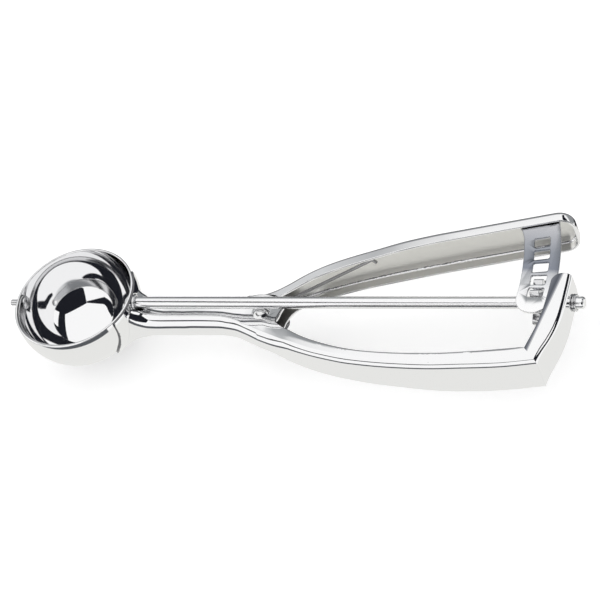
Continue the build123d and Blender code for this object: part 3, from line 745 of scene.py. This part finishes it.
def steps_between(start, stop):
    """Even steps from one angle to another, along a curved card."""
    return [start + (stop - start) * i / CARD_STEPS for i in range(CARD_STEPS + 1)]


def back_shades():
    """The room behind the scoop is dark on the right and pale on the left."""
    shades = []
    for turn in steps_between(*BACK_TURNS):
        share = min(max((turn - BACK_PALES[0]) / BACK_PALES[1], 0), 1)
        shades.append(tuple(a + (b - a) * share for a, b in zip(GREY, PALE)))
    return shades


def around(tilt, start, stop, half):
    """Path of a strip that keeps the same angle from the camera."""
    turns = [radians(turn) for turn in steps_between(start, stop)]
    return [(tilt * cos(turn), tilt * sin(turn), half) for turn in turns]


def below(elevation, start, stop, half):
    """Path of a strip at one height over the floor."""
    lift = radians(elevation)
    path = []
    for turn in [radians(turn) for turn in steps_between(start, stop)]:
        way = Vector((cos(lift) * cos(turn), cos(lift) * sin(turn), sin(lift)))
        seen = view_axes.transposed() @ way
        tilt = degrees(acos(seen.z))
        flat = hypot(seen.x, seen.y)
        path.append((tilt * seen.x / flat, tilt * seen.y / flat, half))
    return path


def add_flags():
    """Dark cards round the scoop that give the polish its streaks."""
    flag("card_upright", [(17, 80), (26, 23), (37, 16), (34, 80)], BLACK)
    flag("card_camera", [(-15, 1), (26, 23), (60, 6), (45, -35), (-9, -28)], BLACK)
    strip("card_seam", [(-72, 26, 5), (-66, 14, 7), (-60, 3, 7), (-50, -4, 7), (-15, -1, 1.5)], BLACK)
    strip("card_right", around(72, -5, 64, 9), BLACK)
    strip("card_back_fade", around(90, *BACK_TURNS, 4), back_shades(), inner=WHITE)
    strip("card_back", around(110, *BACK_TURNS, 16), back_shades())
    strip("card_far", around(140, 10, 180, 14), BLACK)
    strip("card_table", below(-25, 150, 330, 14), SLATE)


def add_world():
    """White all round, with the table's own tone where the steel reflects what is below it."""
    world = bpy.data.worlds.new("studio")
    bpy.context.scene.world = world
    world.use_nodes = True
    tree = world.node_tree
    tree.nodes.clear()
    out = tree.nodes.new("ShaderNodeOutputWorld")
    light = tree.nodes.new("ShaderNodeBackground")
    light.inputs["Color"].default_value = (1, 1, 1, 1)
    light.inputs["Strength"].default_value = 1.0
    table = tree.nodes.new("ShaderNodeBackground")
    table.inputs["Color"].default_value = TABLE_TINT
    mix = tree.nodes.new("ShaderNodeMixShader")
    place = tree.nodes.new("ShaderNodeTexCoord")
    split = tree.nodes.new("ShaderNodeSeparateXYZ")
    edge = tree.nodes.new("ShaderNodeMapRange")
    edge.inputs["From Min"].default_value = TABLE_EDGE + TABLE_BLUR
    edge.inputs["From Max"].default_value = TABLE_EDGE - TABLE_BLUR
    path = tree.nodes.new("ShaderNodeLightPath")
    share = tree.nodes.new("ShaderNodeMath")
    share.operation = "MULTIPLY"
    tree.links.new(place.outputs["Generated"], split.inputs[0])
    tree.links.new(split.outputs["Z"], edge.inputs["Value"])
    tree.links.new(edge.outputs["Result"], share.inputs[0])
    tree.links.new(path.outputs["Is Glossy Ray"], share.inputs[1])
    tree.links.new(share.outputs[0], mix.inputs[0])
    tree.links.new(light.outputs["Background"], mix.inputs[1])
    tree.links.new(table.outputs["Background"], mix.inputs[2])
    tree.links.new(mix.outputs[0], out.inputs["Surface"])


def add_floor():
    """White table top that the steel doesn't reflect."""
    mesh = bpy.data.meshes.new("floor")
    half = FLOOR_HALF
    low = cad_box[0][2] - FLOOR_DROP
    mesh.from_pydata([(-half, -half, low), (half, -half, low), (half, half, low), (-half, half, low)],
                     [], [(0, 1, 2, 3)])
    floor = bpy.data.objects.new("floor", mesh)
    bpy.context.scene.collection.objects.link(floor)
    s = Shader("floor_white")
    paper = s.add("ShaderNodeBsdfDiffuse", Color=FLOOR_TINT)
    glow = s.add("ShaderNodeEmission", Color=(1, 1, 1, 1))
    path = s.add("ShaderNodeLightPath")
    lift = s.add("ShaderNodeMath", operation="MULTIPLY")
    lift.inputs[1].default_value = FLOOR_LIFT
    both = s.add("ShaderNodeAddShader")
    s.link(path.outputs["Is Camera Ray"], lift.inputs[0])
    s.link(lift.outputs[0], glow.inputs["Strength"])
    s.link(paper.outputs[0], both.inputs[0])
    s.link(glow.outputs[0], both.inputs[1])
    s.link(both.outputs[0], s.out.inputs["Surface"])
    mesh.materials.append(s.material)
    floor.visible_glossy = False


# ---------------------------------------------------------------- the whole scoop
FINISHES = {
    "bowl": MIRROR,
    "stem_and_handle": MIRROR,
    "lever_handle": MIRROR,
    "heel": HEEL,
    "drive_rod": ROD,
    "rack_plate": PLATE,
    "scraper_band": SCRAPER,
    "pivot_rivet": RIVET,
    "rack_rivets": RIVET,
}

view_axes = add_camera()
add_world()
add_floor()
add_flags()
for body, members in frame["record"]["behaviour"]["bodies"].items():
    for node in members:
        if node == "return_spring":
            bent_spring()
            continue
        piece = skin(node, FINISHES.get(node, TURNED), body)
        if node == "lever_handle":
            satin_inside(piece)

bpy.context.scene.view_settings.view_transform = "Standard"
